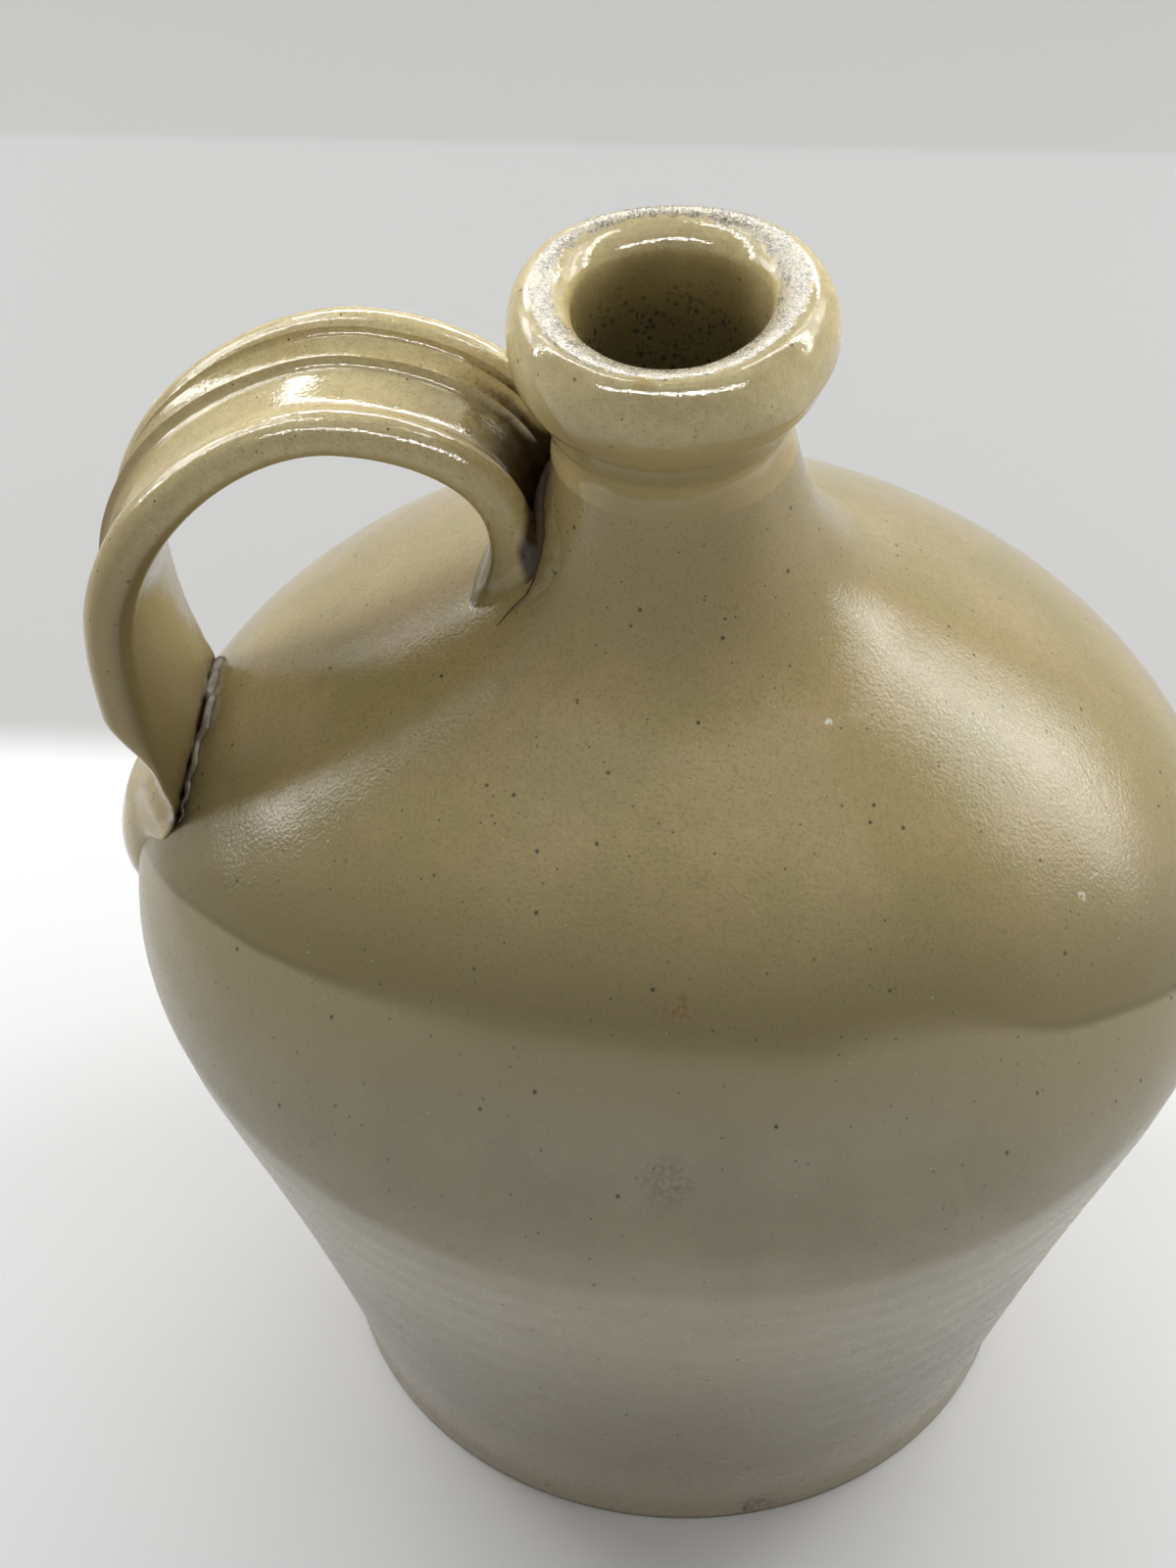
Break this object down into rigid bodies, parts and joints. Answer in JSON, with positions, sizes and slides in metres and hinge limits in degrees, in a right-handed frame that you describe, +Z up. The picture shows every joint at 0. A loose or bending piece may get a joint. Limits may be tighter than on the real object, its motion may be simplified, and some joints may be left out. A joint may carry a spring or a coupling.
{
  "type": "stoneware flask",
  "caption": "Round-shouldered glazed stoneware jug with a tapering foot, short neck, thick rolled lip and a reeded strap handle.",
  "frame": {"origin": "centre of the flat foot, on the turning axis, at the surface that the flask stands on", "axes": "+Z up along the turning axis; the strap handle stands toward -X; -Y is the front that the picture shows"},
  "size_m": [0.2323, 0.228, 0.2802],
  "materials": {
    "lower_glaze": "semi-gloss grey-cream stoneware glaze with fine iron specks",
    "upper_glaze": "glossy honey-tan stoneware glaze with a fine orange-peel surface and iron specks",
    "lip_glaze": "glossy honey-tan glaze with a rough speckled ring round the top",
    "strap_glaze": "glossy honey-tan glaze, iron-brown in the grooves",
    "lute_slip": "dull brown-grey slip under glaze"
  },
  "bodies": {
    "root": {"lower_body": "lower_glaze", "upper_body": "upper_glaze", "lip_collar": "lip_glaze", "strap_handle": "strap_glaze", "root_lute": "lute_slip", "corner_lute": "lute_slip"}
  },
  "joints": []
}
